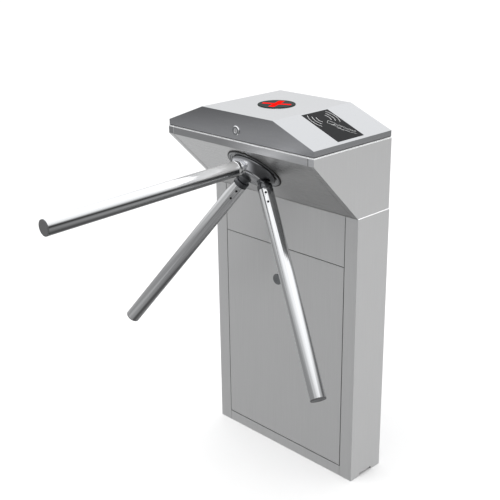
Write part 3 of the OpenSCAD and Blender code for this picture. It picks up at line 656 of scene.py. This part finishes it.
def reader_print():
    """Generic contactless marks: waves to both sides, and a plain hand holding a card."""
    bm = bmesh.new()
    for radius, half in WAVES:
        for side in (-90, 90):
            wave = arc(WAVE_CENTRE, radius, side - half, side + half)
            add_ribbon(bm, wave, WAVE_LINE, 0, INK)
    for edge in zip(CARD, CARD[1:]):
        add_ribbon(bm, turned(edge, CARD_AT, CARD_TURN), CARD_LINE, 0, INK)
    for line in HAND:
        add_ribbon(bm, line, HAND_LINE, 0, INK)
    return bm


def add_prints():
    right = window_matrix()
    left = Matrix.Scale(-1, 4, (1, 0, 0)) @ right
    for name, matrix in (("reader_print_right", right), ("reader_print_left", left)):
        add_piece(name, reader_print(), "print_white", "lid", matrix)


add_prints()

# ---- the lit cross ----

STRIP_OFFSET, STRIP_WIDTH, STRIP_REACH, SHORT_BAR_TURN = 6.6, 2.2, 36.5, 112
STRIP_FOOT, STRIP_TOP = -0.3, -0.05  # from the cross's top


def add_cross_glow():
    """Red strips on the lens beside the cross's short bar, which make it the broader one."""
    low, high = (Vector(corner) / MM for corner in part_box("indicator_cross"))
    bm = bmesh.new()
    for offset in (-STRIP_OFFSET, STRIP_OFFSET):
        line = [(-STRIP_REACH, offset), (STRIP_REACH, offset)]
        line = turned(line, (low + high) / 2, SHORT_BAR_TURN)
        add_ribbon(bm, line, STRIP_WIDTH, high.z + STRIP_FOOT, high.z + STRIP_TOP)
    add_piece("cross_glow", bm, "indicator_red", "lid")


add_cross_glow()

# ---- rubber ring round the hub's escutcheon ----

RING = [(72.8, 0), (75.2, 0), (75.2, 1.68), (74.4, 2.8), (72.8, 2.8)]  # (radius, height)


def add_hub_gasket():
    bm = bmesh.new()
    add_lathe(bm, RING, steps=128)
    add_piece("hub_gasket", bm, "black_rubber", "cabinet", hub_matrix())


add_hub_gasket()

# ---- folded edges and seams of the cabinet ----


def box_mm(node):
    """The low and the high corner of a CAD node's box, in millimetres."""
    return [Vector(corner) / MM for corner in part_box(node)]


CHEEK_LOW, CHEEK_HIGH = box_mm("right_cheek")
POST_LOW, POST_HIGH = box_mm("right_side_panel")
FRONT_LOW, FRONT_HIGH = box_mm("upper_front_panel")
RAIL_TOP = box_mm("bottom_rail")[1].z
SLOPE_X = box_mm("slope_panel")[1].x
LID_LOW, LID_HIGH = box_mm("lid_shell")
HEAD_X, HEAD_FRONT, HEAD_FOOT, HEAD_TOP = CHEEK_HIGH.x, CHEEK_LOW.y, CHEEK_LOW.z, CHEEK_HIGH.z
PEDESTAL_X, PEDESTAL_FRONT = POST_HIGH.x, POST_LOW.y
BACK_Y = CHEEK_HIGH.y - 0.5


def raised(section, height):
    return [(outward, height + up) for outward, up in section]


# Sections of (outward, height) points: the lip under the lid, the joint above the pedestal's side
# panel, and the edging on the lid's rim.
LIP = raised([(-0.6, -2.3), (0.35, -2.3), (0.5, -1.8), (-1.4, 0.35), (-2.4, 0.35), (-2.4, -0.6)],
             HEAD_TOP)
JOINT = raised([(-0.6, -1.6), (0.0, -1.6), (0.05, -1.2), (-1.2, 0.5), (-1.49, 0.5), (-1.49, -0.8)],
               HEAD_FOOT)
EDGING = raised([(-0.4, 0.05), (0.15, 0.05), (0.15, 1.2), (0.05, 1.4), (-0.4, 1.4)], LID_LOW.z)
# Seams in the front faces: (x0, x1, z0, z1). The posts' seams are 1.2 and 0.8 wide.
SEAM_IN = POST_LOW.x - 0.1
SEAM_FOOT, SEAM_TOP = RAIL_TOP + 0.8, FRONT_HIGH.z - 1.7
DOOR_SEAMS = [
    (SEAM_IN, SEAM_IN + 1.2, SEAM_FOOT, SEAM_TOP), (-SEAM_IN - 0.8, -SEAM_IN, SEAM_FOOT, SEAM_TOP),
    (-SEAM_IN, SEAM_IN, FRONT_LOW.z - 0.8, FRONT_LOW.z + 0.3),
    (-SEAM_IN, SEAM_IN, RAIL_TOP + 0.1, SEAM_FOOT),
]
CORNER_HEIGHTS = (HEAD_TOP - 19.6, HEAD_TOP - 2.4)
LEFT_CORNER_SEAM = (-SLOPE_X - 1.0, -SLOPE_X + 0.3, *CORNER_HEIGHTS)
RIGHT_CORNER_SEAM = (SLOPE_X - 0.3, SLOPE_X + 1.0, *CORNER_HEIGHTS)


def round_three_sides(x, front, back):
    """A path for add_bead along the left side, the front and the right side."""
    return [(-x, back, -1, 0), (-x, front, -1, -1), (x, front, 1, -1), (x, back, 1, 0)]


def add_seam(bm, x0, x1, z0, z1, front):
    """A strip over a seam in a front face, let in by 0.2 and 0.1 proud of it."""
    add_box(bm, (x0, front - 0.1, z0), (x1, front + 0.2, z1))


def add_edges():
    """Edges in a white polished metal, whiter than the steel, which paint highlight lines: the lip under the lid
    and the joint above the pedestal, which are edges of the cabinet, and a strip in the head's left corner seam,
    which is a painted highlight only.
    """
    bm = bmesh.new()
    add_bead(bm, LIP, round_three_sides(HEAD_X, HEAD_FRONT, BACK_Y))
    for side in (-1, 1):
        add_bead(bm, JOINT, [(side * PEDESTAL_X, y, side, 0) for y in (-BACK_Y, BACK_Y)])
    add_seam(bm, *LEFT_CORNER_SEAM, HEAD_FRONT)
    add_piece("folded_edges", bm, "edge_bright", "cabinet")


def add_seam_shade_strips():
    """Dark strips over the seams of the fixed frame round the door and in the head's right corner seam, which
    paint the shade in these seams.
    """
    bm = bmesh.new()
    for seam in DOOR_SEAMS:
        add_seam(bm, *seam, PEDESTAL_FRONT)
    add_seam(bm, *RIGHT_CORNER_SEAM, HEAD_FRONT)
    add_piece("seam_shade_strips", bm, "black_rubber", "cabinet")


def add_lid_edging():
    """Thin black rubber edging on the lower edge of the lid's rim, at its front and sides; it also paints the
    shadow line of the gap under the lid.
    """
    bm = bmesh.new()
    add_bead(bm, EDGING, round_three_sides(LID_HIGH.x, LID_LOW.y, BACK_Y - 2))
    add_piece("lid_edging", bm, "black_rubber", "lid")


add_edges()
add_seam_shade_strips()
add_lid_edging()

# ---- bolts and small parts inside ----

# Bolts on the mechanism plate and the bearing housing, in the rotor's frame. A head or a washer is
# (radius, height).
PLATE_BOLTS = [(x, y) for x in (-104, 104) for y in (-114, 50)]
PLATE_BACK, WASHER, HEX_HEAD = -20, (8, 1.2), (5.6, 4)
HOUSING_BOLTS = [on_circle(37, twelfth, 12) for twelfth in range(1, 12, 2)]
HOUSING_BACK, ROUND_HEAD = -26, (3, 2.8)

# The control board stands in the pedestal, with its face to the front.
BOARD_FACE = 38.4
CHIPS = [  # (x, z, width, height, depth)
    (-96, 320, 12, 18, 2), (-96, 350, 12, 18, 2), (-8, 330, 20, 14, 3), (70, 330, 10, 26, 3),
    (-88, 400, 26, 14, 3), (-40, 405, 16, 10, 2.4), (-48, 300, 10, 6, 2), (20, 300, 14, 8, 2),
    (52, 300, 10, 6, 2), (74, 410, 14, 9, 2.5),
]
CHIP_BEVEL = 0.3
SMALL_CHIP = (2.4, 1.3, 0.9)
SMALL_CHIPS, SMALL_CHIP_ROWS = 46, (298, 312, 334, 366, 392, 424)
CANS = [  # (x, z, radius, height)
    (-70, 365, 6, 12), (-84, 372, 5, 11), (30, 350, 8, 16), (50, 352, 8, 16), (84, 372, 4, 8),
    (-70, 425, 4, 7), (0, 420, 4, 7),
]
CLAMP_SCREWS = [-104 + block * 32 + dx for block in range(6) for dx in (5, 12, 19)]
CLAMP_FACE, CLAMP_Z, CLAMP_SCREW = 27, 283, (2.4, 0.7)


def add_mechanism_bolts():
    bm = bmesh.new()
    for x, y in PLATE_BOLTS:
        add_cap(bm, (x, y, PLATE_BACK), *WASHER, -UP, steps=32)
        add_cap(bm, (x, y, PLATE_BACK - WASHER[1]), *HEX_HEAD, -UP, steps=6)
    for x, y in HOUSING_BOLTS:
        add_cap(bm, (x, y, HOUSING_BACK), *ROUND_HEAD, -UP, steps=24)
    add_piece("mechanism_bolts", bm, "zinc_steel", "cabinet", hub_matrix())


def add_chip(bm, x, z, width, height, depth, bevel=0.0):
    add_box(bm, (x, BOARD_FACE - depth, z), (x + width, BOARD_FACE, z + height), bevel)


def add_board_parts():
    """Chips, capacitors, relays and clamp screws on the control board in the pedestal."""
    chips = bmesh.new()
    for chip in CHIPS:
        add_chip(chips, *chip, CHIP_BEVEL)
    for _ in range(SMALL_CHIPS):
        x, z = RNG.uniform(-114, 90), RNG.choice(SMALL_CHIP_ROWS) + RNG.uniform(-3, 3)
        add_chip(chips, x, z, *SMALL_CHIP)
    add_piece("board_chips", chips, "component_black", "cabinet")
    cans = bmesh.new()
    for x, z, radius, height in CANS:
        add_cap(cans, (x, BOARD_FACE, z), radius, height, FORWARD, steps=32)
    for x in CLAMP_SCREWS:
        add_cap(cans, (x, CLAMP_FACE, CLAMP_Z), *CLAMP_SCREW, FORWARD, steps=20)
    add_piece("board_cans", cans, "plate_aluminium", "cabinet")


add_mechanism_bolts()
add_board_parts()

# ---- studio ----

FLOOR_SIZE, FLOOR_Z = 60.0, -0.0006
# What polished faces mirror, as (height, level) from straight down (-1) to straight up (1). The
# flag, the shade and the dim patch each leave only a share of the sky's level.
SKY_SCALE = 2.0
SKY = [
    (-1, 0.18), (-0.8, 0.27), (-0.66, 0.38), (-0.5, 0.46), (-0.34, 0.50), (-0.1, 0.50),
    (0.05, 0.66), (0.2, 1.16), (0.34, 1.38), (0.5, 1.50), (0.7, 1.55), (0.85, 1.6),
]
FLAG = [(-0.26, 0.0), (-0.1, 0.55), (0.03, 0.76), (0.26, 0.55), (0.40, 0.25), (0.5, 0.0)]
SHADE = [(-0.2, 0.12), (0.02, 0.30), (0.2, 0.42)]
# Where each stands in the room: a direction, and how far a view has to reach along it for the thing
# to begin and to be full.
FLAG_BACK_RIGHT = ((0.82, 0.57, 0.0), 0.1, 0.75)
SHADE_FRONT_LEFT = ((-0.34, -0.94, 0.0), 0.3, 0.9)
DIM_FRONT_RIGHT, DIM_LEVEL = ((0.70, -0.60, -0.38), 0.55, 0.95), 0.42
GLOW_LOW_LEFT, GLOW_LEVEL = ((-0.67, 0.35, -0.65), 0.72, 1.0), 0.22
MIRRORED_COLOR = (0.985, 0.992, 1.0)
ROOM_LIGHT = 1.42
KEY_AT, KEY_TO = Vector((-1.2, -1.6, 3.4)), Vector((0, -0.2, 0.6))
KEY_SIZE, KEY_POWER = (2.6, 2.0), 25


def add_floor():
    bm = bmesh.new()
    half = FLOOR_SIZE / 2
    corners = [(-half, -half), (half, -half), (half, half), (-half, half)]
    bm.faces.new([bm.verts.new((x, y, FLOOR_Z)) for x, y in corners])
    mesh = bpy.data.meshes.new("floor")
    bm.to_mesh(mesh)
    bm.free()
    pale = Shader("studio_floor", (0.96, 0.96, 0.96), roughness=0.9, specular=0.1)
    mesh.materials.append(pale.material)
    floor = bpy.data.objects.new("floor", mesh)
    bpy.context.scene.collection.objects.link(floor)
    floor.visible_glossy = False


def add_key_light():
    """A large soft light from above the front left, which polished faces don't mirror."""
    data = bpy.data.lights.new("key_top", "AREA")
    data.shape = "RECTANGLE"
    data.size, data.size_y = KEY_SIZE
    data.energy = KEY_POWER
    lamp = bpy.data.objects.new("key_top", data)
    bpy.context.scene.collection.objects.link(lamp)
    lamp.location = KEY_AT
    lamp.rotation_euler = (KEY_TO - KEY_AT).to_track_quat("-Z", "Y").to_euler()
    lamp.visible_camera = False
    lamp.visible_glossy = False


def add_world():
    """A soft studio: even light for matt faces, and a graded room for polished ones to mirror."""
    world = bpy.data.worlds.new("studio")
    bpy.context.scene.world = world
    world.use_nodes = True
    world.cycles.sampling_method = "NONE"
    world.node_tree.nodes.clear()
    nodes = Nodes(world.node_tree)
    direction = nodes.add("ShaderNodeTexCoord").outputs["Generated"]
    height = nodes.along(direction, UP)

    def standing(toward, start, end):
        """From nought to one as a view turns to something that stands in the room."""
        return nodes.fade(nodes.along(direction, toward), start, end)

    def left_by(dark):
        """The share of the light that a dark thing leaves."""
        return nodes.math("SUBTRACT", 1.0, dark)

    flag = nodes.math("MULTIPLY", nodes.ramp(height, FLAG), standing(*FLAG_BACK_RIGHT))
    shade = nodes.math("MULTIPLY", nodes.ramp(height, SHADE), standing(*SHADE_FRONT_LEFT))
    dim = nodes.math("MULTIPLY", standing(*DIM_FRONT_RIGHT), DIM_LEVEL)
    keep = nodes.math("MULTIPLY", left_by(flag), left_by(shade))
    keep = nodes.math("MULTIPLY", keep, left_by(dim))
    glow = nodes.math("MULTIPLY", standing(*GLOW_LOW_LEFT), GLOW_LEVEL)
    sky = nodes.math("MULTIPLY", nodes.ramp(height, SKY, SKY_SCALE), keep)
    level = nodes.math("ADD", sky, glow)

    def background(**inputs):
        return nodes.add("ShaderNodeBackground", inputs).outputs["Background"]

    mix = nodes.add("ShaderNodeMixShader", {
        "Fac": nodes.add("ShaderNodeLightPath").outputs["Is Glossy Ray"],
        1: background(Strength=ROOM_LIGHT),
        2: background(Strength=level, Color=opaque(MIRRORED_COLOR)),
    })
    nodes.add("ShaderNodeOutputWorld", {"Surface": mix.outputs["Shader"]})


add_floor()
add_world()
add_key_light()

# ---- camera ----

CAMERA_AT = Vector((1.56856, -1.70879, 1.44637))
CAMERA_AZ = math.radians(45.70)
CAMERA_EL = math.radians(20.55)
CAMERA_ROLL = math.radians(-0.79)
SENSOR_WIDTH, FOCAL_LENGTH = 36.0, 66.87
FAR_END = 100


def add_camera():
    data = bpy.data.cameras.new("camera")
    data.sensor_width = SENSOR_WIDTH
    data.lens = FOCAL_LENGTH
    data.clip_end = FAR_END
    camera = bpy.data.objects.new("camera", data)
    bpy.context.scene.collection.objects.link(camera)
    back = Vector((
        math.sin(CAMERA_AZ) * math.cos(CAMERA_EL),
        -math.cos(CAMERA_AZ) * math.cos(CAMERA_EL),
        math.sin(CAMERA_EL),
    ))
    level = Vector((math.cos(CAMERA_AZ), math.sin(CAMERA_AZ), 0))
    upright = back.cross(level)
    right = math.cos(CAMERA_ROLL) * level + math.sin(CAMERA_ROLL) * upright
    up = -math.sin(CAMERA_ROLL) * level + math.cos(CAMERA_ROLL) * upright
    turn = Matrix((right, up, back)).transposed().to_4x4()
    camera.matrix_world = Matrix.Translation(CAMERA_AT) @ turn
    bpy.context.scene.camera = camera


add_camera()
bpy.context.scene.view_settings.view_transform = "Standard"
